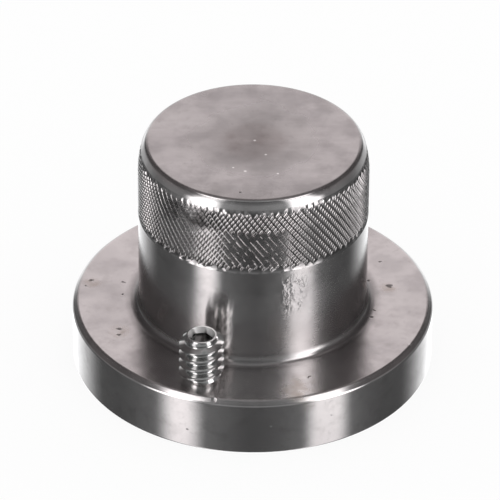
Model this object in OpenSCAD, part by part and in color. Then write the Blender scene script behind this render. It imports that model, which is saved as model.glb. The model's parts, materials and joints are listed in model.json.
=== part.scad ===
// Skirted control knob for a potentiometer shaft, turned from one steel bar and
// diamond-knurled, with its hex-socket set screw stood loose on the skirt.
// Millimetres, +Z up, origin on the axis at the underside of the skirt.

/* [Skirt] */
// Diameter of the skirt
skirt_d = 28.6; // [27:0.1:40]
// Height of the skirt
skirt_h = 4.85; // [3:0.05:6.5]
// Bevel along the skirt's top edge
skirt_bevel = 0.38; // [0.1:0.02:0.8]
// Rounding along the skirt's bottom edge
skirt_break = 0.2; // [0.1:0.05:0.5]

/* [Body] */
// Diameter of the plain body above the skirt
body_d = 18.1; // [15:0.1:19]
// Overall height of the knob
knob_h = 19.65; // [18.6:0.05:30]
// Height of the bevel round the top face
bevel_h = 0.68; // [0.3:0.02:1]
// Width of the bevel round the top face
bevel_w = 0.43; // [0.2:0.01:0.8]
// Fillet where the body meets the skirt
root_fillet = 0.7; // [0.2:0.05:1]

/* [Knurl] */
// Length of the knurled band, down from the top bevel
knurl_h = 5.7; // [3:0.05:7]
// Lines of the coarse family, which climb to the left
left_lines = 98; // [60:1:120]
// Lines of the fine family, which climb to the right
right_lines = 164; // [120:1:180]
// Angle of both families to the axis, in degrees
knurl_angle = 37; // [25:1:45]
// Depth of the grooves, whose diamonds are flush with the body
knurl_depth = 0.13; // [0.06:0.01:0.25]
// Height over which the grip is crowned, below the top bevel
crown_h = 1.97; // [0.5:0.01:2.5]
// Drop of the crown's radius, from the body to the top bevel
crown_drop = 0.26; // [0.05:0.01:0.4]

/* [Shaft bore] */
// Diameter of the blind bore for the shaft
bore_d = 6.35; // [3:0.05:8]
// Depth of the bore from the underside
bore_depth = 12.7; // [11.5:0.1:15]
// Chamfer at the mouth of the bore
bore_chamfer = 0.4; // [0.1:0.05:0.8]

/* [Set-screw hole] */
// Tapping diameter of the radial hole for the set screw
tap_d = 2.75; // [2:0.05:3.2]
// Height of the hole's axis above the top of the skirt
tap_rise = 4.4; // [3:0.1:4.8]

/* [Set screw] */
// Diameter over the thread of the set screw
screw_d = 3.5; // [2.5:0.05:3.8]
// Length of the set screw
screw_l = 3.97; // [3:0.01:8]
// Diameter of the flat ring at each end
screw_end_d = 2.36; // [2.1:0.01:2.4]
// Height of the chamfer at each end
screw_chamfer = 0.55; // [0.3:0.05:1]
// Hex socket across its flats
hex_flats = 1.59; // [0.9:0.01:1.7]
// Depth of the hex socket
hex_depth = 1.8; // [1:0.05:2.2]
// Diameter of the cup in the lower end
cup_d = 1.75; // [1:0.05:1.9]
// Depth of the cup
cup_depth = 0.45; // [0.2:0.05:0.6]
// Gap between the body's fillet and the end ring of the standing screw
screw_gap = 0.57; // [0.1:0.01:1.2]
// Direction of the standing screw from the axis, in degrees from +X
screw_side = -110; // [-180:1:180]

/* [Hidden] */
$fn = 96;
// Cutting tools run this far past the faces that they cut
spare = 0.5;
// The core under the knurl lies this far below the grooves, and the knurl's ring reaches this far into it
core_gap = 0.03;
knurl_bite = 0.3;
// The knurl's ragged ends stop this far from the shoulders above and below
knurl_clear = 0.05;

skirt_r = skirt_d / 2;
body_r = body_d / 2;
bore_r = bore_d / 2;

// Rim above the knurl, and the arc of the crown below it
knurl_top = knob_h - bevel_h;
rim_r = body_r - crown_drop;
crown_z = knurl_top - crown_h;
crown_r = (crown_h * crown_h + crown_drop * crown_drop) / (2 * crown_drop);

// Radius of the grip over the diamonds' tips, at height z
function grip_r(z) = z < crown_z ? body_r : rim_r + crown_drop - crown_r + sqrt(crown_r ^ 2 - (z - crown_z) ^ 2);

// Turn of a knurl line for each millimetre of height, and the height between its crossings
knurl_twist = tan(knurl_angle) / body_r * 180 / PI;
crossing_h = 180 / (knurl_twist * left_lines);
// Rows of whole diamonds: the ragged ends of the band take up the rest
ragged_rows = 1 + left_lines / right_lines;
knurl_rows = floor((knurl_h - 2 * knurl_clear) / crossing_h - ragged_rows + 0.5);
knurl_foot = knurl_top - knurl_clear - (knurl_rows + ragged_rows) * crossing_h;
// Top of the plain body, and the conical core that carries the knurl up to the rim
body_top = knurl_foot - knurl_clear;
core_depth = knurl_depth + core_gap;

// Height at which left-climbing line i crosses right-climbing line j, and their crossing at radius r
function crossing_z(i, j) = knurl_foot + crossing_h * (i - j * left_lines / right_lines);
function crossing(i, j, r) =
    let (turn = 180 * (i / left_lines + j / right_lines))
    [r * cos(turn), r * sin(turn), crossing_z(i, j)];

// Crossing that is sunk below the grip's surface
function sunk_crossing(i, j, depth) = crossing(i, j, grip_r(crossing_z(i, j)) - depth);

// First line i that line j crosses above the foot, and how many lines later the next j starts
function first_line(j) = floor(j * left_lines / right_lines) + 1;
function skips(j) = first_line(j + 1) - first_line(j);

// Places in the knurl's list of points: roots, tips, and the two rings inside the body
function root(j, m) = (j % right_lines) * (knurl_rows + 2) + m;
function tip(j, m) = right_lines * (knurl_rows + 2) + j * knurl_rows + m;
function inner_low(j) = right_lines * (2 * knurl_rows + 2) + j % right_lines;
function inner_high(j) = inner_low(j) + right_lines;

// One four-sided pyramid, on the crossings of lines j and j + 1 in row m
function diamond(j, m) =
    let (
        left = root(j, m + skips(j)),
        top = root(j, m + skips(j) + 1),
        right = root(j + 1, m + 1),
        bottom = root(j + 1, m)
    )
    [for (edge = [[left, top], [top, right], [right, bottom], [bottom, left]]) concat(tip(j, m), edge)];

// Lower and upper end of the strip between lines j and j + 1, down to the inner rings
function lower_end(j) = concat(
    skips(j) > 0 ? [[root(j, 0), root(j, 1), root(j + 1, 0)]] : [],
    [[root(j, 0), root(j + 1, 0), inner_low(j + 1)], [root(j, 0), inner_low(j + 1), inner_low(j)]]
);
function upper_end(j) =
    let (peak = root(j, knurl_rows + skips(j)), next = root(j + 1, knurl_rows))
    concat(
        skips(j) > 0 ? [[peak, root(j, knurl_rows), inner_high(j)]] : [],
        [[next, peak, inner_high(j)], [next, inner_high(j), inner_high(j + 1)]]
    );
function inner_wall(j) = [
    [inner_low(j), inner_low(j + 1), inner_high(j + 1)],
    [inner_low(j), inner_high(j + 1), inner_high(j)]
];

// Ring of diamonds between two crossing families of helical lines
module knurl() {
    lines = [0:right_lines - 1];
    inner_r = rim_r - core_depth - knurl_bite;
    roots = [for (j = lines) for (m = [0:knurl_rows + 1]) sunk_crossing(first_line(j) + m, j, knurl_depth)];
    tips = [
        for (j = lines) for (m = [0:knurl_rows - 1])
            sunk_crossing(first_line(j) + skips(j) + m + 1 / 2, j + 1 / 2, 0)
    ];
    low_ring = [for (j = lines) crossing(first_line(j), j, inner_r)];
    high_ring = [for (j = lines) crossing(first_line(j) + knurl_rows, j, inner_r)];
    diamonds = [for (j = lines) for (m = [0:knurl_rows - 1]) each diamond(j, m)];
    ends = [for (j = lines) each concat(lower_end(j), upper_end(j), inner_wall(j))];
    polyhedron(concat(roots, tips, low_ring, high_ring), concat(diamonds, ends));
}

// Waste outside a quarter round, for an outer corner at the origin
module round_off(r) {
    difference() {
        translate([-r, -r]) square(r + spare);
        translate([-r, -r]) circle(r);
    }
}

// Waste outside a 45 degree bevel, for an outer corner at the origin
module bevel_off(size) {
    polygon([[-size, 0], [0, -size], [spare, -size], [spare, spare], [-size, spare]]);
}

// Metal inside a quarter hollow, for an inner corner at the origin
module fill_in(r) {
    difference() {
        translate([-spare, -spare]) square(r + spare);
        translate([r, r]) circle(r);
    }
}

// Half section of the turned knob
module knob_section() {
    difference() {
        union() {
            square([skirt_r, skirt_h]);
            square([body_r, body_top]);
            translate([body_r, skirt_h]) fill_in(root_fillet);
            polygon([
                [0, 0],
                [body_r - core_depth, 0],
                [body_r - core_depth, body_top],
                [rim_r - core_depth, knurl_top],
                [rim_r, knurl_top],
                [rim_r - bevel_w, knob_h],
                [0, knob_h]
            ]);
        }
        translate([skirt_r, skirt_h]) bevel_off(skirt_bevel);
        mirror([0, 1]) translate([skirt_r, 0]) round_off(skirt_break);
    }
}

// Blind bore for the shaft, with its chamfered mouth
module shaft_bore() {
    translate([0, 0, -spare]) cylinder(h = bore_depth + spare, r = bore_r);
    translate([0, 0, -spare])
        cylinder(h = bore_chamfer + spare, r1 = bore_r + bore_chamfer + spare, r2 = bore_r);
}

// Radial hole for the set screw, through the wall at the back of the body
module tap_hole() {
    translate([0, 0, skirt_h + tap_rise])
        rotate([-90, 0, 0]) cylinder(h = body_r + spare, d = tap_d);
}

module knob() {
    color([0.70, 0.67, 0.66]) union() {
        difference() {
            rotate_extrude() knob_section();
            shaft_bore();
            tap_hole();
        }
        knurl();
    }
}

module set_screw() {
    screw_r = screw_d / 2;
    end_r = screw_end_d / 2;
    stand_r = body_r + root_fillet + screw_gap + end_r;
    section = [
        [0, cup_depth],
        [cup_d / 2, 0],
        [end_r, 0],
        [screw_r, screw_chamfer],
        [screw_r, screw_l - screw_chamfer],
        [end_r, screw_l],
        [0, screw_l]
    ];
    color([0.45, 0.44, 0.44])
        rotate([0, 0, screw_side]) translate([stand_r, 0, skirt_h])
            difference() {
                rotate_extrude() polygon(section);
                translate([0, 0, screw_l - hex_depth])
                    cylinder(h = hex_depth + spare, d = hex_flats / cos(30), $fn = 6);
            }
}

knob();
set_screw();
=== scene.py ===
# %% [markdown]
# # A turned steel control knob
#
# The knob fits the shaft of a potentiometer. It was turned from one steel bar: a wide
# skirt, a plain body and a knurled grip. Its set screw stands loose on the skirt, in
# front of the body.
#
# The solids of both pieces are loaded first. They fix every size and place, and the
# surfaces made below stand exactly where they are.

# %% Load the fixed frame
import json
from types import SimpleNamespace

import bmesh
import bpy
import numpy as np
from mathutils import Matrix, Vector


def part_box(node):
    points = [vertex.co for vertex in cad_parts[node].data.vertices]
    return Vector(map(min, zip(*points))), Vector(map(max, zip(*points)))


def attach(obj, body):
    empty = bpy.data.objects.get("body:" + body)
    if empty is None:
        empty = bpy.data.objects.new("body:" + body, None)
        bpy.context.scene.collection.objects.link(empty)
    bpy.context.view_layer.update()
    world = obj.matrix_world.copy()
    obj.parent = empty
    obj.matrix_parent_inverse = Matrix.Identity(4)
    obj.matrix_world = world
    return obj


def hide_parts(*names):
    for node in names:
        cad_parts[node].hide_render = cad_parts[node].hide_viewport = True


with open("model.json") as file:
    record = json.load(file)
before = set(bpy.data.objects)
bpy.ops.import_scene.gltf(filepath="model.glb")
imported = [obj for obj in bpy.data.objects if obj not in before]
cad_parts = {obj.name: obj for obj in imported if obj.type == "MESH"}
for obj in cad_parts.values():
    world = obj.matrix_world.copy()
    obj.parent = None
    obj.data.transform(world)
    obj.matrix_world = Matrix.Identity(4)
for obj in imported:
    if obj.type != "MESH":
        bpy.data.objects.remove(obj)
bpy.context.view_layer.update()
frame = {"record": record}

# %% [markdown]
# ## Sizes
#
# The overall sizes are read from the solids' boxes and from the record's mounts. The
# screw's own box gives the height of the skirt, because the screw stands on it. What a
# box can't say, such as a rounding, is a named value in millimetres.

# %% Sizes of the two pieces
MM = 0.001
mounts = {mount["name"]: mount for mount in frame["record"]["mounts"]}
knob_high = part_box("knob")[1]
screw_low, screw_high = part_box("set_screw")

skirt_r = knob_high.x
knob_h = knob_high.z
skirt_h = screw_low.z
skirt_bevel = 0.38 * MM
skirt_break = 0.2 * MM
body_r = 9.05 * MM
root_fillet = 0.7 * MM
bevel_h = 0.68 * MM
bevel_w = 0.43 * MM
crown_h = 1.97 * MM
crown_drop = 0.26 * MM

bore_r = mounts["shaft_bore"]["dims"]["r_mm"] * MM
bore_depth = 12.7 * MM
bore_chamfer = 0.4 * MM
hole_r = mounts["set_screw_hole"]["dims"]["r_mm"] * MM
hole_z = mounts["set_screw_hole"]["pos_m"][2]
print("skirt radius", skirt_r, "knob height", knob_h, "skirt height", skirt_h)

# %% [markdown]
# ## Camera
#
# The skirt and the top face are circles, and the ellipses that they make in the picture
# give the camera: how far it looks down, how far away it stands and how long its lens is.
# A long lens far away keeps the far side of the skirt almost as wide as the near side.
# A constraint could aim the camera, but its three axes are known, so they are written
# straight into its matrix.

# %% Place the camera
camera_elevation = np.radians(34.04)
camera_roll = np.radians(0.394)
camera_distance = 386.1 * MM
camera_shift_right = -0.24 * MM
camera_shift_up = 7.8 * MM
camera_lens = 347.3
camera_sensor = 36.0
camera_near, camera_far = 0.01, 10.0

right = np.array([1.0, 0.0, 0.0])
up = np.array([0.0, np.sin(camera_elevation), np.cos(camera_elevation)])
back = np.array([0.0, -np.cos(camera_elevation), np.sin(camera_elevation)])
camera_axes = np.stack([
    np.cos(camera_roll) * right + np.sin(camera_roll) * up,
    np.cos(camera_roll) * up - np.sin(camera_roll) * right,
    back,
], axis=1)
camera_place = camera_shift_right * right + camera_shift_up * up + camera_distance * back

camera = bpy.data.objects.new("camera", bpy.data.cameras.new("camera"))
camera.data.lens = camera_lens
camera.data.sensor_width = camera_sensor
camera.data.clip_start = camera_near
camera.data.clip_end = camera_far
camera.matrix_world = Matrix.Translation(camera_place) @ Matrix(camera_axes.tolist()).to_4x4()
bpy.context.scene.collection.objects.link(camera)
bpy.context.scene.camera = camera
bpy.context.scene.view_settings.view_transform = "Standard"
print("camera at", camera.location)

# %% [markdown]
# ## From arrays to a mesh
#
# Each surface is a patch: an array of points and an array of faces. A grid patch joins
# neighbouring rows and columns. Where two rings have different numbers of points, as at
# the edge of the knurl, they are zipped together like the two sides of a zip fastener.
# A piece is a list of patches: their shared edges are merged into one closed skin.

# %% Patches
FULL_TURN = 2 * np.pi


def grid_patch(points, wrap=False):
    """Faces of a grid of points, shape (rows, columns, 3): each joins row i to i + 1 and
    column k to k + 1, and wrap joins the last column to the first."""
    rows, columns = points.shape[:2]
    index = np.arange(rows * columns).reshape(rows, columns)
    following = np.roll(index, -1, axis=1)
    faces = np.stack([index[:-1], following[:-1], following[1:], index[1:]], axis=-1)
    if not wrap:
        faces = faces[:, :-1]
    return points.reshape(-1, 3), faces


def zip_patch(low, low_turn, high, high_turn):
    """Triangles between two rings, ordered by turn: each edge of one ring is joined to the
    last point of the other ring that comes before the edge's end."""
    low_order = np.argsort(low_turn % FULL_TURN)
    high_order = np.argsort(high_turn % FULL_TURN)
    a = (low_turn % FULL_TURN)[low_order]
    b = (high_turn % FULL_TURN)[high_order]
    around = np.array([-1, 0, 1])[:, None] * FULL_TURN
    a_end = np.append(a[1:], a[0] + FULL_TURN)
    b_end = np.append(b[1:], b[0] + FULL_TURN)
    b_before = np.searchsorted((b + around).ravel(), a_end, "left") - 1
    a_before = np.searchsorted((a + around).ravel(), b_end, "right") - 1
    low_index = np.arange(len(a))
    high_index = np.arange(len(b)) + len(a)
    low_edges = np.stack([low_index, np.roll(low_index, -1), high_index[b_before % len(b)]], axis=1)
    high_edges = np.stack([np.roll(high_index, -1), high_index, low_index[a_before % len(a)]], axis=1)
    return np.concatenate([low[low_order], high[high_order]]), np.concatenate([low_edges, high_edges])


def on_cylinder(radius, turn, z):
    """Points at a radius, a turn about the Z axis and a height: (r cos turn, r sin turn, z)."""
    radius, turn, z = np.broadcast_arrays(radius, turn, z)
    return np.stack([radius * np.cos(turn), radius * np.sin(turn), z], axis=-1)


print("faces of a 3 by 4 grid:", grid_patch(np.zeros((3, 4, 3)))[1].shape[:2])

# %% Pieces
MERGE = 0.0005 * MM
SHARP = 25


def make_piece(name, patches, sharp=SHARP):
    """One object from a list of patches: points stacked, seams merged, faces turned outwards
    and edges sharper than an angle in degrees left sharp."""
    starts = np.cumsum([0] + [len(points) for points, faces in patches])
    points = np.concatenate([points for points, faces in patches])
    faces = []
    for start, (_, patch_faces) in zip(starts, patches):
        faces += (patch_faces.reshape(-1, patch_faces.shape[-1]) + start).tolist()
    mesh = bpy.data.meshes.new(name)
    mesh.from_pydata(points.tolist(), [], faces)
    work = bmesh.new()
    work.from_mesh(mesh)
    bmesh.ops.remove_doubles(work, verts=work.verts, dist=MERGE)
    bmesh.ops.dissolve_degenerate(work, edges=work.edges, dist=MERGE)
    bmesh.ops.recalc_face_normals(work, faces=work.faces)
    open_edges = sum(not edge.is_manifold for edge in work.edges)
    work.to_mesh(mesh)
    work.free()
    mesh.shade_smooth()
    mesh.set_sharp_from_angle(angle=np.radians(sharp))
    piece = bpy.data.objects.new(name, mesh)
    bpy.context.scene.collection.objects.link(piece)
    print(name, "faces:", len(mesh.polygons), "open edges:", open_edges)
    return piece


print("points nearer than", MERGE, "m are merged")

# %% [markdown]
# ## The turned skin
#
# A lathe makes surfaces of revolution, so the skin is a half section carried round the
# axis. The section is a chain of straight lines, and a small arc softens each corner.
# Blender's Spin and Bevel tools could do the same, but arrays let the knurl and the hole
# be sewn in exactly. A line has an extra row close to each end, which keeps the shading of
# a flat face flat right up to the rounding beside it.

# %% Section helpers
COLUMNS = 328
turns = np.arange(COLUMNS) * FULL_TURN / COLUMNS
ROW_INSET = 0.03 * MM


def line(start, end, rows=2):
    """Points along a straight line, with a row close to each end."""
    start, end = np.array(start), np.array(end)
    inset = ROW_INSET / np.linalg.norm(end - start)
    share = np.concatenate([[0], np.linspace(inset, 1 - inset, rows), [1]])[:, None]
    return start + share * (end - start)


def softened(corners, radii, rows, steps=10):
    """A chain of lines whose inner corners are arcs. An arc of radius r touches both of its
    lines at r / tan(a / 2) from their corner, where a is the angle between the lines."""
    corners = np.array(corners)
    along = np.diff(corners, axis=0)
    along /= np.linalg.norm(along, axis=1)[:, None]
    bisector = along[1:] - along[:-1]
    bisector /= np.linalg.norm(bisector, axis=1)[:, None]
    half = np.arccos(np.sum(bisector * along[1:], axis=1))[:, None]
    radii = np.array(radii)[:, None]
    reach = radii / np.tan(half)
    arc_start = corners[1:-1] - reach * along[:-1]
    arc_end = corners[1:-1] + reach * along[1:]
    centre = corners[1:-1] + radii / np.sin(half) * bisector
    blend = np.linspace(0, 1, steps + 1)[:, None, None]
    swing = np.pi - 2 * half
    weight_start = np.sin((1 - blend) * swing) / np.sin(swing)
    weight_end = np.sin(blend * swing) / np.sin(swing)
    arcs = centre + weight_start * (arc_start - centre) + weight_end * (arc_end - centre)
    starts = np.concatenate([corners[:1], arc_end])
    ends = np.concatenate([arc_start, corners[-1:]])
    chain = [line(starts[0], ends[0], rows[0])]
    for k in range(len(radii)):
        chain += [arcs[:, k], line(starts[k + 1], ends[k + 1], rows[k + 1])]
    return np.concatenate(chain)


def revolve(section):
    """The section's points (radius, height) carried round the Z axis."""
    return on_cylinder(section[:, None, 0], turns[None, :], section[:, None, 1])


print("columns round the axis:", COLUMNS, "of width", body_r * FULL_TURN / COLUMNS, "on the body")

# %% [markdown]
# ## The knurl
#
# Two families of helical lines are rolled into the grip. The coarse family climbs to the
# left and the fine one to the right, and between them they leave rows of small diamonds.
# A bump pattern could draw them, but the outline would stay smooth, so each diamond is
# real. In the lattice's own coordinates a diamond is a unit square between line i and
# i + 1 of one family and line j and j + 1 of the other, so the whole band is one array of
# squares, bent round the body. The grip is slightly crowned: its upper part falls off to
# the rim.

# %% Lattice of the knurl
left_lines = 98
right_lines = 164
knurl_angle = np.radians(37)
knurl_rows = 13
knurl_clear = 0.05 * MM
rim_z = knob_h - bevel_h
rim_r = body_r - crown_drop
crown_r = (crown_h ** 2 + crown_drop ** 2) / (2 * crown_drop)
crossing_h = np.pi * body_r / (np.tan(knurl_angle) * left_lines)
knurl_levels = knurl_rows + 1 + left_lines / right_lines
knurl_foot = rim_z - knurl_clear - knurl_levels * crossing_h


def grip_r(z):
    """Radius of the grip at a height: the body's, and above it the crown's arc."""
    above = np.clip(z - rim_z + crown_h, 0, crown_h)
    return body_r - crown_r + np.sqrt(crown_r ** 2 - above ** 2)


def level_of(i, j):
    """Rows above the foot of the knurl at which line i crosses line j."""
    return i - j * left_lines / right_lines


def turn_at(i, j):
    """Turn about the Z axis at which line i crosses line j."""
    return np.pi * (i / left_lines + j / right_lines)


def crossing(i, j, sunk=0.0):
    """Point where left-climbing line i crosses right-climbing line j, sunk below the skin."""
    z = knurl_foot + crossing_h * level_of(i, j)
    return on_cylinder(grip_r(z) - sunk, turn_at(i, j), z)


print("rows of diamonds:", knurl_rows, "of height", 2 * crossing_h, "from z", knurl_foot)

# %% [markdown]
# ## How hard the knurl was pressed
#
# Where the roller was pressed in hard, the diamonds are pointed. In the lower rows at the
# front it only scored the surface, and flat tops are left. The rows beside them are half
# scored, and above those a patch is smeared almost flat. One function gives the share of
# the full depth anywhere on the band, so the diamonds can follow it.

# %% Depth of the grooves
knurl_depth = 0.13 * MM
EDGE = np.radians(4)
scored_from, scored_to = np.radians(-16), np.radians(20)
half_scored_from, half_scored_to = np.radians(-54), np.radians(-26)
scored_foot, scored_levels = 1.3, 9.3
foot_edge, top_edge = 0.8, 0.4
scored_press = 0.4
half_scored = 0.75
flattened = 0.5
smear_at, smear_reach = np.radians(-39), np.radians(22)
smear_foot, smear_edge = 7.5, 1.5
smear_gain, smear_loss = 1.6, 0.82
foot_run, top_run = 0.5, 1.25
scored_z = knurl_foot + scored_levels * crossing_h


def ramp(x, start, width):
    """0 up to a start, then a straight rise to 1 over a width."""
    return np.clip((x - start) / width, 0, 1)


def bell(x):
    """1 at 0, falling smoothly to 0 at 1 and beyond: the square of 1 - x squared."""
    return np.clip(1 - x ** 2, 0, 1) ** 2


def between(angle, low, high):
    """1 between two angles, falling to 0 at both of them over the width of EDGE."""
    return np.clip(np.minimum(angle - low, high - angle) / EDGE, 0, 1)


def pressed(i, j):
    """Share of the full depth. The scored rows keep the least at the front, more at the left
    and most between the two, the smear keeps almost nothing, and the rest keeps all of it.
    Angles are counted from the front."""
    level = level_of(i, j)
    front = (turn_at(i, j) + 1.5 * np.pi) % FULL_TURN - np.pi
    scored_row = ramp(level, scored_foot, foot_edge) * (1 - ramp(level, scored_levels, top_edge))
    scored_side = between(front, scored_from, scored_to)
    scored_side = scored_side + half_scored * between(front, half_scored_from, half_scored_to)
    scored_side = scored_side + flattened * between(front, half_scored_to - EDGE, scored_from + EDGE)
    smear = np.clip(smear_gain * bell((front - smear_at) / smear_reach), 0, 1)
    smear = smear * ramp(level, smear_foot, smear_edge)
    return (1 - (1 - scored_press) * scored_row * scored_side) * (1 - smear_loss * smear)


def groove_depth(i, j):
    """Depth of the grooves at a crossing, running out to nothing at both ends of the band."""
    level = level_of(i, j)
    run_out = np.clip(np.minimum(level / foot_run, (knurl_levels - level) / top_run), 0, 1)
    return knurl_depth * pressed(i, j) * run_out


print("scored from z", knurl_foot + scored_foot * crossing_h, "to", scored_z)

# %% Diamonds
coarse_flat, coarse_scored = 0.4, 0.4
fine_flat, fine_scored = 0.12, 0.72
widest_flat = 0.96
unevenness = 0.06
CORNER_I = np.array([0, 1, 1, 0])
CORNER_J = np.array([0, 0, 1, 1])
uneven = np.random.default_rng(5)

# Above the foot, line j first meets line first[j] of the other family. Where that number
# goes up with the next j, the column of diamonds starts one row higher.
j = np.arange(right_lines)
first = np.floor(j * left_lines / right_lines) + 1
skip = np.floor((j + 1) * left_lines / right_lines) + 1 - first
row = np.arange(knurl_rows)
square_i = (first + skip)[:, None, None] + row[None, :, None]
square_j = j[:, None, None] + 0 * row[None, :, None]
scored = np.clip((1 - pressed(square_i + 0.5, square_j + 0.5)) / (1 - scored_press), 0, 1)
jitter = 1 + unevenness * uneven.standard_normal(scored.shape)
flat_i = (coarse_flat + coarse_scored * scored) * jitter
flat_j = np.minimum((fine_flat + fine_scored * scored) * jitter, widest_flat)
sunk = groove_depth(square_i + CORNER_I, square_j + CORNER_J)


def diamond_ring(flank, inset, drop):
    """One ring of each diamond: a share of its flanks outside the flat top, an inset share
    of the top, and the share of the groove's depth there."""
    share_i = inset * flat_i + flank * (1 - flat_i)
    share_j = inset * flat_j + flank * (1 - flat_j)
    ring_i = square_i + 0.5 + share_i * (CORNER_I - 0.5)
    ring_j = square_j + 0.5 + share_j * (CORNER_J - 0.5)
    return crossing(ring_i, ring_j, drop * sunk)


# From the bottom of the grooves, up a hollow flank, to the edge of the flat top.
diamond_rings = [
    diamond_ring(1, 1, 1),
    diamond_ring(0.55, 1, 0.36),
    diamond_ring(0.22, 1, 0.09 - 0.08 * scored),
    diamond_ring(0, 0.9, 0),
]
diamond_points = np.concatenate(diamond_rings, axis=2)
CORNERS = len(CORNER_I)
side = np.arange(CORNERS)
next_side = np.roll(side, -1)
flanks = np.stack([side, next_side, next_side + CORNERS, side + CORNERS], axis=1)
flat_top = (side + 3 * CORNERS)[None, :]
diamond_faces = np.concatenate([flanks, flanks + CORNERS, flanks + 2 * CORNERS, flat_top])
diamond_starts = diamond_points.shape[2] * np.arange(right_lines * knurl_rows)[:, None, None]
diamonds = (diamond_points.reshape(-1, 3), diamond_starts + diamond_faces)
print("diamonds:", right_lines * knurl_rows)

# %% Ragged ends of the knurl
tall = skip > 0


def groove_point(i, j):
    """A crossing at the bottom of its grooves."""
    return crossing(i, j, groove_depth(i, j))


def turn_of(points):
    """Turn of each point about the Z axis."""
    return np.arctan2(points[..., 1], points[..., 0])


notches = np.stack([
    groove_point(first[tall], j[tall]),
    groove_point(first[tall] + 1, j[tall]),
    groove_point(first[tall] + 1, j[tall] + 1),
], axis=1)
notch_patch = (notches.reshape(-1, 3), np.arange(3 * len(notches)).reshape(-1, 3))
lower_edge = groove_point(first, j)
upper_edge = np.concatenate([
    groove_point(first + knurl_rows, j),
    groove_point(first[tall] + knurl_rows + 1, j[tall]),
])
band_low = on_cylinder(body_r, turns, knurl_foot - ROW_INSET)
band_high = on_cylinder(rim_r, turns, rim_z)
knurl_patches = [
    diamonds,
    notch_patch,
    zip_patch(band_low, turns, lower_edge, turn_of(lower_edge)),
    zip_patch(upper_edge, turn_of(upper_edge), band_high, turns),
]
print("points along the knurl's edges:", len(lower_edge), len(upper_edge))

# %% [markdown]
# ## The hole for the set screw
#
# A tapped hole runs through the wall at the back of the body. A Boolean could cut it, but
# it would leave long thin faces that catch the light. Instead a window is left in the
# wall's grid and in the bore's, each window is zipped to a round rim that lies on the same
# cylinder, and a tube with a screw thread joins the two rims.

# %% Walls with a window
WINDOW_ROWS = 9
HOLE_POINTS = 72
hole_turn = np.arange(HOLE_POINTS) * FULL_TURN / HOLE_POINTS
above_fillet = 0.3 * MM
wall_foot = skirt_h + root_fillet + above_fillet
wall_window = 2.6 * MM
bore_window = 1.9 * MM


def wall_rows(low, high, half):
    """Heights of a wall's rows from low to high, evenly spaced across the window."""
    window = np.linspace(hole_z - half, hole_z + half, WINDOW_ROWS)
    below = line((low, 0), (hole_z - half, 0))[:-1, 0]
    above = line((hole_z + half, 0), (high, 0))[1:, 0]
    return np.concatenate([below, window, above])


def wall_with_window(radius, heights, half):
    """A cylinder's wall with a square window at the back: the grid without the window's
    faces, and the ring of points round the window."""
    points = on_cylinder(radius, turns[None, :], heights[:, None])
    flat, faces = grid_patch(points, wrap=True)
    reach = int(np.arcsin(half / radius) * COLUMNS / FULL_TURN)
    middle = COLUMNS // 4
    low = int(np.argmin(np.abs(heights - hole_z + half)))
    rows = np.arange(low, low + WINDOW_ROWS)
    columns = np.arange(middle - reach, middle + reach + 1)
    kept = np.ones(faces.shape[:2], bool)
    kept[low:low + WINDOW_ROWS - 1, middle - reach:middle + reach] = False
    border = np.concatenate([
        points[rows[0], columns],
        points[rows[1:-1], columns[-1]],
        points[rows[-1], columns],
        points[rows[1:-1], columns[0]],
    ])
    return (flat, faces[kept]), border


wall_heights = wall_rows(wall_foot, knurl_foot - ROW_INSET, wall_window)
bore_heights = wall_rows(bore_chamfer, bore_depth, bore_window)
wall_patch, wall_border = wall_with_window(body_r, wall_heights, wall_window)
bore_patch, bore_border = wall_with_window(bore_r, bore_heights, bore_window)
print("points round the windows:", len(wall_border), len(bore_border))

# %% The tapped tube
THREAD_PITCH = 0.794 * MM
hole_thread_h = 0.3 * MM
TUBE_ROWS = 60
THREAD_FADE = 8
mouth_r = 1.85 * MM
mouth_depth = 0.4 * MM


def hole_rim(radius, rim_radius):
    """Ring where a tube along the Y axis meets a cylinder of a radius about Z: y is the
    root of radius squared - x squared."""
    x = rim_radius * np.cos(hole_turn)
    z = hole_z + rim_radius * np.sin(hole_turn)
    return np.stack([x, np.sqrt(radius ** 2 - x ** 2), z], axis=-1)


def turn_in_hole(points):
    """Turn of each point about the hole's own axis."""
    return np.arctan2(points[..., 2] - hole_z, points[..., 0])


outer_rim = hole_rim(body_r, mouth_r)
inner_rim = hole_rim(bore_r, hole_r)
outer_lip = hole_rim(body_r, mouth_r + ROW_INSET)
inner_lip = hole_rim(bore_r, hole_r + ROW_INSET)
depth_share = np.linspace(0, 1, TUBE_ROWS)[:, None]
tube_y = (1 - depth_share) * outer_rim[None, :, 1] + depth_share * inner_rim[None, :, 1]
thread_wave = np.abs((tube_y / THREAD_PITCH - hole_turn / FULL_TURN) % 1 - 0.5) * 2
thread_ends = np.clip(np.minimum(depth_share, 1 - depth_share) * THREAD_FADE, 0, 1)
flare = np.clip(1 - depth_share * (body_r - bore_r) / mouth_depth, 0, 1) * (mouth_r - hole_r)
tube_r = hole_r + np.maximum(hole_thread_h * thread_wave * thread_ends, flare)
tube = np.stack([
    tube_r * np.cos(hole_turn),
    tube_y,
    hole_z + tube_r * np.sin(hole_turn),
], axis=-1)
hole_patches = [
    wall_patch,
    bore_patch,
    zip_patch(wall_border, turn_in_hole(wall_border), outer_lip, hole_turn),
    zip_patch(bore_border, turn_in_hole(bore_border), inner_lip, hole_turn),
    grid_patch(np.stack([outer_lip, outer_rim]), wrap=True),
    grid_patch(np.stack([inner_lip, inner_rim]), wrap=True),
    grid_patch(tube, wrap=True),
]
print("tube from radius", tube_r[0, 0], "to", tube_r[-1, 0])

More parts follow.
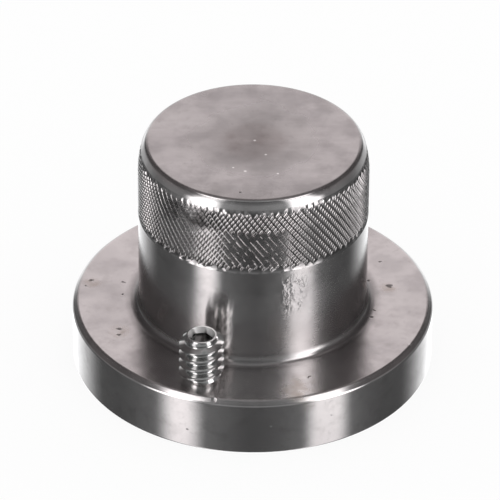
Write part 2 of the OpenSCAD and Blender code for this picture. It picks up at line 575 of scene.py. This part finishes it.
# %% [markdown]
# ## The knob in one skin
#
# The rest of the section runs from the blind end of the bore to the underside, round the
# skirt to the foot of the body, and from the rim above the knurl to the centre of the top
# face. The bevel of the rim bulges a little: a straight one would shine over its whole
# width at once. All patches together close into one skin.

# %% Build the knob
bore_edge_round = 0.05 * MM
skirt_bevel_round = 0.3 * MM
rim_bulge = 0.05 * MM
rim_round = 1.6 * MM
face_round = 0.4 * MM
KNOB_SHARP = 50

bore_end = line((0, bore_depth), (bore_r, bore_depth))
skirt_section = softened(
    [
        (bore_r, bore_chamfer),
        (bore_r + bore_chamfer, 0),
        (skirt_r, 0),
        (skirt_r, skirt_h - skirt_bevel),
        (skirt_r - skirt_bevel, skirt_h),
        (body_r, skirt_h),
        (body_r, wall_foot),
    ],
    radii=[bore_edge_round, skirt_break, skirt_bevel_round, skirt_bevel_round, root_fillet],
    rows=[2, 8, 8, 2, 8, 2],
)
bulge = rim_bulge / np.hypot(bevel_h, bevel_w)
rim_middle = (rim_r - bevel_w / 2 + bulge * bevel_h, rim_z + bevel_h / 2 + bulge * bevel_w)
top_section = softened(
    [(rim_r, rim_z), rim_middle, (rim_r - bevel_w, knob_h), (0, knob_h)],
    radii=[rim_round, face_round],
    rows=[3, 2, 16],
)
turned = [grid_patch(revolve(section), wrap=True) for section in (bore_end, skirt_section, top_section)]
knob = make_piece("turned_knob", turned + knurl_patches + hole_patches, KNOB_SHARP)

# %% [markdown]
# ## The set screw
#
# The thread is a V-shaped ridge wound round a rod. The Screw modifier could wind it, but
# its two ends would stay open. Here the grid follows the helix: every column starts a
# little higher than the one before, and after a full turn it is exactly one pitch higher,
# so the seam closes on itself. Heights are clipped at both ends, and a cone at each end
# cuts the ridge down to the flat ring there.

# %% Sizes of the set screw
screw_r = (screw_high.x - screw_low.x) / 2
screw_l = screw_high.z - screw_low.z
screw_x = (screw_high.x + screw_low.x) / 2
screw_y = (screw_high.y + screw_low.y) / 2
screw_end_r = 1.18 * MM
screw_chamfer = 0.55 * MM
thread_h = 0.46 * MM
thread_root_r = screw_r - thread_h
hex_flats = 1.59 * MM
hex_depth = 1.8 * MM
hex_mouth_r = 1.05 * MM
hex_mouth_depth = 0.4 * MM
drill_tip = hex_flats / 4
cup_r = 0.875 * MM
cup_depth = 0.45 * MM
print("screw radius", screw_r, "length", screw_l, "at", screw_x, screw_y)

# %% Build the set screw
SCREW_COLUMNS = 96
HEX_SIDE = FULL_TURN / 6
PITCH_SHARES = np.array([0, 0.07, 0.11, 0.36, 0.42, 0.58, 0.64, 0.89, 0.93])
PITCH_RISES = np.array([1, 1, 0.92, 0.06, 0, 0, 0.06, 0.92, 1])
screw_turn = np.arange(SCREW_COLUMNS) * FULL_TURN / SCREW_COLUMNS


def thread_surface():
    """Radius at a height above the helix: a V-shaped ridge with a small flat, cut down by
    the cone at the nearer end of the screw."""
    pitches = np.arange(-1, np.ceil(screw_l / THREAD_PITCH) + 1)
    above = THREAD_PITCH * (pitches[:, None] + PITCH_SHARES[None, :]).ravel()[:, None]
    ridge = thread_root_r + thread_h * np.tile(PITCH_RISES, len(pitches))[:, None]
    turn = np.append(screw_turn, FULL_TURN)[None, :]
    z = np.clip(above + THREAD_PITCH * turn / FULL_TURN, 0, screw_l)
    cone = screw_end_r + np.minimum(z, screw_l - z) * (screw_r - screw_end_r) / screw_chamfer
    return on_cylinder(np.minimum(ridge, cone), turn, z)


def ring_rows(rows):
    """A grid from rows of (radius, height), where each may vary with the turn."""
    return np.stack([on_cylinder(radius, screw_turn, z) for radius, z in rows])


# A hexagon's radius is half its width over the cosine of the angle from a flat's middle.
hex_r = hex_flats / 2 / np.cos(screw_turn % HEX_SIDE - HEX_SIDE / 2)
socket = ring_rows([
    (screw_end_r, screw_l),
    (hex_mouth_r, screw_l),
    (hex_r, screw_l - hex_mouth_depth),
    (hex_r, screw_l - hex_depth),
    (0, screw_l - hex_depth - drill_tip),
])
cup = ring_rows([(screw_end_r, 0), (cup_r, 0), (0, cup_depth)])
screw_turned = np.array(Matrix.Rotation(np.arctan2(screw_y, screw_x), 3, "Z"))
screw_stand = np.array([screw_x, screw_y, skirt_h])
screw_patches = [
    (points @ screw_turned.T + screw_stand, faces)
    for points, faces in (
        grid_patch(thread_surface()),
        grid_patch(socket, wrap=True),
        grid_patch(cup, wrap=True),
    )
]
set_screw = make_piece("thread_screw", screw_patches)

# %% [markdown]
# ## Shader maths
#
# A material is a small graph of nodes. It could be drawn by hand in the shader editor. The
# class below wraps one socket of that graph instead, so that a formula can be written in
# Python: each operator adds a Math node.

# %% Sockets as numbers
DEGREES = 180 / np.pi


class Wire:
    """A socket of a node graph that can be used in a formula."""

    def __init__(self, socket):
        self.socket = socket

    def node(self, kind, settings, inputs, output=0):
        """Adds a node: its settings first, then the values or links of its inputs."""
        tree = self.socket.id_data
        made = tree.nodes.new(kind)
        for name, value in settings.items():
            setattr(made, name, value)
        for key, value in inputs.items():
            if isinstance(value, Wire):
                tree.links.new(value.socket, made.inputs[key])
            else:
                made.inputs[key].default_value = value
        return Wire(made.outputs[output])

    def math(self, operation, *values):
        """Adds a Math node that works on the values."""
        return self.node("ShaderNodeMath", {"operation": operation}, dict(enumerate(values)))

    def __add__(self, other):
        return self.math("ADD", self, other)

    def __sub__(self, other):
        return self.math("SUBTRACT", self, other)

    def __rsub__(self, other):
        return self.math("SUBTRACT", other, self)

    def __mul__(self, other):
        return self.math("MULTIPLY", self, other)

    def __truediv__(self, other):
        return self.math("DIVIDE", self, other)

    def __abs__(self):
        return self.math("ABSOLUTE", self)

    __radd__ = __add__
    __rmul__ = __mul__

    def step(self, low, high):
        """0 below low, 1 above high and a smooth rise between them."""
        settings = {"interpolation_type": "SMOOTHSTEP"}
        return self.node("ShaderNodeMapRange", settings, {0: self, 1: low, 2: high})

    def band(self, low, low_full, high_full, high):
        """A smooth rise from low to low_full, then a smooth fall from high_full to high."""
        return self.step(low, low_full) * (1 - self.step(high_full, high))

    def bump_at(self, centre, width):
        """1 at the centre and 0 beyond a width on either side."""
        return 1 - abs(self - centre).step(0, width)


def object_axes(tree):
    """Object coordinates as a vector and as its three parts."""
    place = Wire(tree.nodes.new("ShaderNodeTexCoord").outputs["Object"])
    parts = place.node("ShaderNodeSeparateXYZ", {}, {0: place}).socket.node.outputs
    return place, Wire(parts[0]), Wire(parts[1]), Wire(parts[2])


def azimuth_of(x, y):
    """Angle about the Z axis in degrees: 0 at the front, growing to the right."""
    return x.math("ARCTAN2", x, 0 - y) * DEGREES


def mix_colours(share, first_colour, second_colour):
    """The first colour where share is 0, the second where it is 1."""
    inputs = {0: share, 6: first_colour, 7: second_colour}
    return share.node("ShaderNodeMix", {"data_type": "RGBA"}, inputs, output=2)


def noise(vector, scale, detail, output=0):
    """A noise over a vector: finer with a larger scale, rougher with more detail."""
    inputs = {"Vector": vector, "Scale": scale, "Detail": detail}
    return vector.node("ShaderNodeTexNoise", {}, inputs, output)


def new_material(name):
    """An empty procedural material: its graph and its shader node."""
    material = bpy.data.materials.new(name)
    material.use_nodes = True
    return material, material.node_tree, material.node_tree.nodes["Principled BSDF"]


helpers = (object_axes, azimuth_of, mix_colours, noise, new_material)
print("shader helpers:", [helper.__name__ for helper in helpers])

# %% [markdown]
# ## Marks of wear and painted glints
#
# The knob has been used, and small marks lie on its faces: dark pits with stains round them, a nick in the
# edge of the skirt, and bright specks that are painted glints, standing in for the light that small dents
# catch. A picture could hold them, but it would need the skin to be unwrapped. Here each mark is a ball in
# space that colours the skin where it cuts it, so a list of places is enough.

# %% Places of the marks
PLATE = skirt_h / MM
FACE = knob_h / MM
SPOT_CORE = 0.3
FRAY = 0.5 * MM

PITS = [
    (10.9, 1.72, PLATE, 0.34), (-10.49, -4.49, PLATE, 0.28), (-10.49, -5.25, PLATE, 0.2),
    (-10.35, 2.01, PLATE, 0.19), (-10.33, 0.36, PLATE, 0.17), (10.24, 5.17, PLATE, 0.17),
    (4.41, -10.8, PLATE, 0.16), (-12.9, 2.2, PLATE, 0.2), (-13.3, 1.4, PLATE, 0.16),
    (9.65, -1.65, 4.86, 0.2), (9.4, -2.7, 4.87, 0.18), (9.25, 2.45, 4.88, 0.2),
    (-5.04, -13.38, 1.7, 0.13), (6.13, -12.92, 2.76, 0.11), (-0.99, -7.26, FACE, 0.14),
]
# Painted glints: bright specks that stand in for the light that small dents catch.
GLINT_SPECKS = [
    (-0.65, -4.31, FACE, 0.17), (0.07, 0.08, FACE, 0.16), (0.93, -1.94, FACE, 0.14),
    (1.86, -4.62, FACE, 0.13), (-1.58, -3.82, FACE, 0.12), (12.38, -6.3, PLATE, 0.2),
    (2.9, -9.75, 5.1, 0.14), (3.9, -9.4, 5.1, 0.12), (5.3, -8.6, 5.1, 0.14),
    (7.4, -6.9, 5.2, 0.14), (-0.4, -9.95, 5.0, 0.12), (1.48, -14.22, 2.57, 0.12),
]
STAINS = [
    (-12.8, 1.97, PLATE, 0.9), (10.9, 1.72, PLATE, 1.0),
    (3.6, -12.4, PLATE, 2.2), (-10.5, -4.8, PLATE, 1.1),
]
NICKS = [(-2.94, -13.72, 4.72, 0.24)]


def spots(place, centres):
    """Sum of soft balls, each given by x, y, z and radius in millimetres: 1 in the core,
    falling to 0 at the radius."""
    total = 0
    for *centre, size in centres:
        inputs = {0: place, 1: [part * MM for part in centre]}
        away = place.node("ShaderNodeVectorMath", {"operation": "DISTANCE"}, inputs, output=1)
        total = total + (1 - away.step(SPOT_CORE * size * MM, size * MM))
    return total


def frayed(place):
    """The place pushed about by a fine noise, which frays the edge of a round spot."""
    inputs = {0: noise(place, 2500.0, 2.0, output=1), 1: (FRAY,) * 3, 2: place}
    pushed = place.node("ShaderNodeVectorMath", {"operation": "MULTIPLY_ADD"}, inputs)
    inputs = {0: pushed, 1: (FRAY / 2,) * 3}
    return place.node("ShaderNodeVectorMath", {"operation": "SUBTRACT"}, inputs)


print("pits, specks, stains, nicks:", len(PITS), len(GLINT_SPECKS), len(STAINS), len(NICKS))

# %% [markdown]
# ## Turned steel
#
# The tool left fine rings on every face. Rings spread a reflection across themselves and
# keep it sharp along themselves, which is what the shader's anisotropy does. The rings
# themselves are a noise that only changes with radius plus height, so one formula serves
# the walls and the flat faces alike.
#
# Use has dulled the steel in places: a film on the flat faces and on the knurl, and a scuffed patch.
# Painted shade darkens the front edge of the top face, the scored rows and the upper rows at the front of
# the knurl, the grooves of the knurl and the hollow at the foot of the body, and the body is painted
# darker towards its foot. Each has a mask from 0 to 1, and the masks mix its colour in, raise the
# roughness or feed the bump.

# %% Masks of the knob
# Centre and width of a patch, in degrees from the front or in height.
FOOT_GLINT = (34, 26)
SMEAR = (-36, 24)
SHADED_ROWS = (-22, 16)
SCUFF_SIDE = (20, 10)
SCUFF_HEIGHT = (11 * MM, 2.7 * MM)
DULL_SIDE = (25, 24)
# Start and end of a smooth step.
DULL_BELOW = (10.5 * MM, 12 * MM)
SCORED_SIDE = (-22, -14)


def knob_zones(x, y, z):
    """Masks from 0 to 1 that say on which face, row or patch of the knob a point lies. The
    depth in the knurl is counted from the crown, whose fall is h squared / (2 crown_r)."""
    radius = x.math("SQRT", x * x + y * y)
    azimuth = azimuth_of(x, y)
    on_top = z.step(knob_h - 0.1 * MM, knob_h - 0.02 * MM)
    off_body = radius - body_r
    on_skirt = z.bump_at(skirt_h, 0.3 * MM) * off_body.step(0.45 * MM, 1.15 * MM)
    on_body = off_body.band(-0.15 * MM, -0.05 * MM, 0.05 * MM, 0.25 * MM)
    on_body = on_body * z.step(skirt_h, skirt_h + 0.2 * MM)
    in_knurl = z.band(knurl_foot - 0.1 * MM, knurl_foot, rim_z - 0.6 * MM, rim_z - 0.1 * MM)
    upper_rows = z.step(scored_z, scored_z + 0.3 * MM)
    above = z - (rim_z - crown_h)
    in_crown = above.math("MAXIMUM", above, 0.0)
    depth = 0 - in_crown * in_crown * (0.5 / crown_r) - off_body
    # Painted shade in the hollow at the foot of the body, stronger towards the sides and spared where the
    # glint on the fillet shows.
    foot = z.band(skirt_h - 0.1 * MM, skirt_h, skirt_h + 0.1 * MM, skirt_h + 1.4 * MM)
    foot = foot * (1 - off_body.step(0.45 * MM, 1.25 * MM)) * (1 - 0.8 * azimuth.bump_at(*FOOT_GLINT))
    smeared_rows = z.step(scored_z - 0.6 * MM, scored_z + 0.4 * MM)
    scuffed = azimuth.bump_at(*SCUFF_SIDE).step(0, 0.6) * z.bump_at(*SCUFF_HEIGHT).step(0, 0.6)
    dulled = 0.06 * (1 - z.step(*DULL_BELOW)) + 0.1 * azimuth.bump_at(*DULL_SIDE)
    return SimpleNamespace(
        radius=radius,
        top=on_top,
        skirt=on_skirt,
        knurl=in_knurl,
        calm=1 - 0.8 * on_top - 0.6 * on_skirt,
        torn=on_top * (1 - radius.step(0.6 * MM, 6 * MM)),
        smudged=on_top * (1 - radius.step(1.9 * MM, 3.0 * MM)),
        # Painted shade: the top face is darker towards its front edge.
        front_edge=on_top * (0 - y).step(5 * MM, 9 * MM),
        # The body is painted darker towards its foot.
        low_body=on_body * (1 - z.step(skirt_h + 2.5 * MM, skirt_h + 5 * MM)),
        # Painted shade in the grooves of the knurl.
        groove=in_knurl * depth.step(0.04 * MM, 0.11 * MM),
        # Painted shade: the scored rows and the upper rows at the front of the knurl are darker.
        scored=in_knurl * (1 - upper_rows) * azimuth.step(*SCORED_SIDE),
        shaded_rows=in_knurl * upper_rows * azimuth.bump_at(*SHADED_ROWS),
        smeared=in_knurl * azimuth.bump_at(*SMEAR).step(0.1, 0.6) * smeared_rows,
        # Painted shade in the hollow at the foot of the body.
        root=foot * (0.35 + 0.2 * abs(azimuth).step(40, 70)),
        scuffed=scuffed * on_body,
        dulled=dulled * on_body,
    )


print("crown of radius", crown_r, "begins at z", rim_z - crown_h)

# %% Noises of the steel
RING_SCALE = 5000.0


def steel_noises(place, radius, z):
    """The noises of the steel. A stretched noise sweeps across the top face, a slanted one
    scratches the scuffed patch."""
    ring_inputs = {"W": radius + z, "Scale": RING_SCALE, "Detail": 3.0}
    swept = place.node("ShaderNodeMapping", {}, {"Vector": place, "Scale": (0.12, 1, 1)})
    slant_inputs = {"Vector": place, "Rotation": (0, 0.6, 0), "Scale": (1, 1, 0.5)}
    slanted = place.node("ShaderNodeMapping", {}, slant_inputs)
    return SimpleNamespace(
        rings=place.node("ShaderNodeTexNoise", {"noise_dimensions": "1D"}, ring_inputs),
        blotches=noise(place, 240.0, 6.0),
        patches=noise(place, 500.0, 3.0).step(0.42, 0.68),
        mottle=noise(place, 900.0, 5.0),
        flakes=noise(place, 1100.0, 2.0).step(0.36, 0.56),
        grain=noise(place, 2600.0, 3.0),
        sweeps=noise(swept, 1500.0, 3.0),
        scratches=noise(slanted, 5200.0, 3.0),
    )


print("rings about", 1 / RING_SCALE, "m apart")

# %% The knob's steel
STEEL_PALE = (0.72, 0.70, 0.695, 1)
STEEL_GREY = (0.61, 0.59, 0.59, 1)
PEPPER = (0.52, 0.50, 0.495, 1)
FILM_AND_SHADE = (0.11, 0.105, 0.105, 1)
TORN = (0.31, 0.265, 0.255, 1)
GROOVE_SHADE = (0.2, 0.195, 0.195, 1)
ROOT_SHADE = (0.13, 0.125, 0.125, 1)
STAIN = (0.50, 0.42, 0.35, 1)
SCUFF = (0.25, 0.24, 0.24, 1)
PIT = (0.14, 0.12, 0.115, 1)
PAINTED_GLINT = (1.0, 0.99, 0.98, 1)
RING_SPREAD = 0.7
RING_TURN = 0.25


def turned_steel():
    """Layers of colour over pale steel, each mixed in by its mask, with a roughness and a
    relief that are sums of the same masks."""
    material, tree, shader = new_material("turned_steel")
    place, x, y, z = object_axes(tree)
    zone = knob_zones(x, y, z)
    fine = steel_noises(place, zone.radius, z)
    ragged = frayed(place)
    pits = spots(ragged, PITS)
    glint_specks = spots(place, GLINT_SPECKS)
    stains = spots(ragged, STAINS) * fine.mottle.step(0.3, 0.7)
    nicks = spots(place, NICKS)
    scuffed = zone.scuffed * fine.scratches * fine.flakes

    # A film on the flat faces and the knurl, with painted shade: the top face darker at its front edge,
    # the scored rows and the upper rows at the front of the knurl darker, and the body darker towards its
    # foot.
    film_and_shade = zone.top * (0.19 + 0.18 * fine.sweeps + 0.12 * fine.patches + 0.2 * zone.front_edge)
    film_and_shade = film_and_shade + zone.skirt * (0.04 + 0.13 * fine.patches) + 0.16 * zone.low_body
    film_and_shade = film_and_shade + 0.22 * zone.scored + 0.4 * zone.shaded_rows + 0.06 * zone.knurl
    film_and_shade = film_and_shade + zone.smeared * (0.34 + 0.36 * fine.mottle.step(0.4, 0.6))
    layers = [
        (0.5 * fine.mottle.step(0.45, 0.8) + 0.3 * fine.grain.step(0.6, 0.7), PEPPER),
        (film_and_shade, FILM_AND_SHADE),
        (0.14 * zone.torn + 0.45 * zone.smudged * (0.5 + 0.5 * fine.patches), TORN),
        # Painted shade in the grooves of the knurl.
        (0.75 * zone.groove, GROOVE_SHADE),
        # Painted shade in the hollow at the foot of the body.
        (zone.root * (0.5 + fine.blotches), ROOT_SHADE),
        (0.5 * stains, STAIN),
        (0.6 * scuffed.step(0.5, 0.6), SCUFF),
        (0.55 * pits, PIT),
        # Painted glints of small dents.
        (0.9 * glint_specks, PAINTED_GLINT),
    ]
    colour = mix_colours(fine.blotches.step(0.3, 0.75), STEEL_PALE, STEEL_GREY)
    for share, layer in layers:
        colour = mix_colours(share, colour, layer)

    roughness = 0.1 + 0.08 * fine.blotches + 0.05 * zone.calm * (fine.rings - 0.5)
    roughness = roughness + 0.14 * zone.torn + 0.12 * zone.top + 0.1 * zone.skirt
    roughness = roughness + 0.3 * pits + 0.1 * stains + 0.2 * zone.root + 0.14 * zone.smeared + zone.dulled
    height = zone.calm * (0.0012 * fine.rings + 0.001 * fine.grain)
    height = height + 0.04 * scuffed + 0.04 * zone.smeared * fine.grain - 0.03 * nicks - 0.02 * pits
    bump = place.node("ShaderNodeBump", {}, {"Strength": 1.0, "Distance": MM, "Height": height})
    shader.inputs["Metallic"].default_value = 1.0
    shader.inputs["Anisotropic"].default_value = RING_SPREAD
    shader.inputs["Anisotropic Rotation"].default_value = RING_TURN
    tree.links.new(colour.socket, shader.inputs["Base Color"])
    tree.links.new(roughness.socket, shader.inputs["Roughness"])
    tree.links.new(bump.socket, shader.inputs["Normal"])
    return material


knob.data.materials.append(turned_steel())
print("nodes of the turned steel:", len(knob.data.materials[0].node_tree.nodes))

# %% [markdown]
# ## Steel of the screw
#
# The screw is brighter and smoother than the knob, with only a faint grain. The cone at
# the mouth of its socket is rougher, so it scatters the light and shows as a pale ring.
# It could be a piece with a finish of its own, but a mask by place keeps the screw whole.

# %% The screw's steel
SCREW_PALE = (0.76, 0.76, 0.75, 1)
SCREW_GREY = (0.60, 0.60, 0.60, 1)


def screw_steel():
    """Two greys mixed by a grain, and a roughness that rises in the mouth of the socket."""
    material, tree, shader = new_material("screw_steel")
    place, x, y, z = object_axes(tree)
    grain = noise(place, 1500.0, 4.0)
    colour = mix_colours(grain.step(0.35, 0.7), SCREW_PALE, SCREW_GREY)
    across = (x - screw_x) * (x - screw_x) + (y - screw_y) * (y - screw_y)
    mouth = z.step(skirt_h + screw_l - 0.5 * MM, skirt_h + screw_l - 0.35 * MM)
    mouth = mouth * (1 - across.step((1.0 * MM) ** 2, (1.1 * MM) ** 2))
    roughness = 0.07 + 0.07 * grain + 0.4 * mouth
    shader.inputs["Metallic"].default_value = 1.0
    tree.links.new(colour.socket, shader.inputs["Base Color"])
    tree.links.new(roughness.socket, shader.inputs["Roughness"])
    return material


set_screw.data.materials.append(screw_steel())
print("materials:", [material.name for material in bpy.data.materials])

# %% [markdown]
# ## Floor and sky
#
# The floor is plain and pale, under an even white sky. To the camera it also glows a
# little, so that it is white like the paper of a photo studio, and it keeps the soft
# shadow round the foot of the knob.

# %% Floor and sky
FLOOR_SIZE = 6.0
FLOOR_GAP = 0.01 * MM
PAPER_GLOW = 0.9
PAPER = (0.9, 0.9, 0.9, 1)
WHITE = (1, 1, 1, 1)


def stage_plane(name, size, height):
    """A flat square of that size at a height."""
    corners = np.array([[-1, -1], [1, -1], [1, 1], [-1, 1]]) * size / 2
    mesh = bpy.data.meshes.new(name)
    mesh.from_pydata([(x, y, height) for x, y in corners.tolist()], [], [(0, 1, 2, 3)])
    plane = bpy.data.objects.new(name, mesh)
    bpy.context.scene.collection.objects.link(plane)
    return plane


floor = stage_plane("floor", FLOOR_SIZE, -FLOOR_GAP)
floor_material, floor_tree, floor_shader = new_material("pale_floor")
floor_shader.inputs["Base Color"].default_value = PAPER
floor_shader.inputs["Roughness"].default_value = 1.0
floor_shader.inputs["Specular IOR Level"].default_value = 0.0
light_path = floor_tree.nodes.new("ShaderNodeLightPath")
seen = Wire(light_path.outputs["Is Camera Ray"]) + Wire(light_path.outputs["Is Glossy Ray"])
seen = seen + Wire(light_path.outputs["Is Transmission Ray"])
glow = seen.node("ShaderNodeEmission", {}, {"Color": WHITE, "Strength": 1.0})
paper_inputs = {0: PAPER_GLOW * seen, 1: Wire(floor_shader.outputs[0]), 2: glow}
paper = seen.node("ShaderNodeMixShader", {}, paper_inputs)
floor_tree.links.new(paper.socket, floor_tree.nodes["Material Output"].inputs["Surface"])
floor.data.materials.append(floor_material)
floor.visible_glossy = False

sky = bpy.data.worlds.new("sky")
sky.use_nodes = True
sky.node_tree.nodes["Background"].inputs["Color"].default_value = WHITE
sky.node_tree.nodes["Background"].inputs["Strength"].default_value = 1.0
bpy.context.scene.world = sky
print("floor", FLOOR_SIZE, "m wide, sky", sky.name)

# %% [markdown]
# ## Light tent
#
# Polished metal is only as good as what it mirrors. Lamps alone would leave it black with
# a few bright dots, so a light tent stands round the knob: dark cloth, two tall strips of
# light in front at either hand, and white cloth behind. Only reflections see the tent: the
# camera looks through it, and it throws no shadow.

# %% Cloth of the tent
TENT_R = 1.5
TENT_COLUMNS = 96
TENT_ROWS = 49
DARK_CLOTH = 0.09
COOL = (0.985, 1.0, 1.01, 1)
WARM = (1.0, 0.92, 0.93, 1)


def tent_dome():
    """A sphere of radius R round the knob: (R cos rise) from the axis at height R sin rise."""
    turn = np.linspace(0, FULL_TURN, TENT_COLUMNS, endpoint=False)[None, :]
    rise = np.radians(np.linspace(-90, 90, TENT_ROWS))[:, None]
    return on_cylinder(TENT_R * np.cos(rise), turn, TENT_R * np.sin(rise))


def light_strips(azimuth, elevation):
    """A tall band of light on either side: between two azimuths, leaning out higher up. The
    left one dips where the rim of the knob mirrors it."""
    lean = 5 * elevation.band(-14, 4, 10, 20) + 14 * elevation.step(38, 54)

    def strip(side, inner, outer, soft_in, soft_out):
        """1 from the inner to the outer azimuth on one side, with soft edges."""
        along = side * azimuth
        lit = (along - inner).step(-soft_in, soft_in)
        return lit * (1 - (along - outer - lean).step(-soft_out, soft_out))

    left_dip = 1 - 0.6 * elevation.bump_at(35, 10)
    return 1.05 * left_dip * strip(-1, 36, 57, 7, 8) + 0.95 * strip(1, 37.5, 61.5, 6, 6)


def tent_cloth():
    """Light sent by the tent: sums of smooth steps in azimuth from the camera's side and in
    elevation, both in degrees."""
    material, tree, shader = new_material("tent_cloth")
    place, x, y, z = object_axes(tree)
    azimuth = azimuth_of(x, y)
    aside = abs(azimuth)
    elevation = z.math("ARCSINE", z / TENT_R) * DEGREES
    tilted = elevation + 0.57 * (aside - 135)

    strips = light_strips(azimuth, elevation)
    power = 1 + 2 * elevation.step(-16, 2) - elevation.step(16, 30)
    lamps = strips * (1 - elevation.step(52, 62)) * power
    halo = 0.1 * (azimuth.bump_at(-46, 50) + azimuth.bump_at(48, 50))
    low_back = 1.9 * aside.step(110, 168) * (1 - elevation.step(-38, -26))
    high_back = 0.76 * aside.step(158, 176) * elevation.band(20, 30, 42, 60)
    back_fill = 0.8 * aside.step(142, 160) * elevation.band(-34, -22, 24, 34)
    side_glow = 0.5 * aside.band(96, 150, 160, 172) * elevation.step(-24, -14) * (1 - tilted.step(-4, 5))
    side_haze = 0.11 * aside.bump_at(88, 34) * elevation.band(-12, 4, 20, 32)
    front_haze = 0.15 * elevation.step(-18, -2) * (1 - aside.step(30, 60))
    front_haze = front_haze * (1 - 0.75 * elevation.step(26, 36))
    overhead = 0.12 * elevation.step(50, 66)
    light = DARK_CLOTH + lamps + halo + low_back + high_back + back_fill
    light = light + side_glow + side_haze + front_haze + overhead

    warmth = elevation.step(-10, 30) * aside.step(40, 110)
    warmth = warmth + 0.5 * strips * (1 - warmth)
    tint = mix_colours(warmth, COOL, WARM)
    lit_cloth = place.node("ShaderNodeVectorMath", {"operation": "SCALE"}, {0: tint, 3: light})
    glow = place.node("ShaderNodeEmission", {}, {"Color": lit_cloth, "Strength": 1.0})
    tree.links.new(glow.socket, tree.nodes["Material Output"].inputs["Surface"])
    tree.nodes.remove(shader)
    material.cycles.emission_sampling = "NONE"
    return material


print("tent of radius", TENT_R)

# %% Build the tent
tent = make_piece("light_tent", [grid_patch(tent_dome(), wrap=True)])
tent.data.materials.append(tent_cloth())
tent.visible_camera = False
tent.visible_diffuse = False
tent.visible_shadow = False
tent.visible_transmission = False

# %% [markdown]
# ## Attached to the body
#
# Both pieces belong to the one body of the part and stand for its two solids, which are hidden.

# %% Ride with the body and hide the solids
for piece, node, slot in ((knob, "knob", "turned_steel"), (set_screw, "set_screw", "screw_steel")):
    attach(piece, "root")
    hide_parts(node)
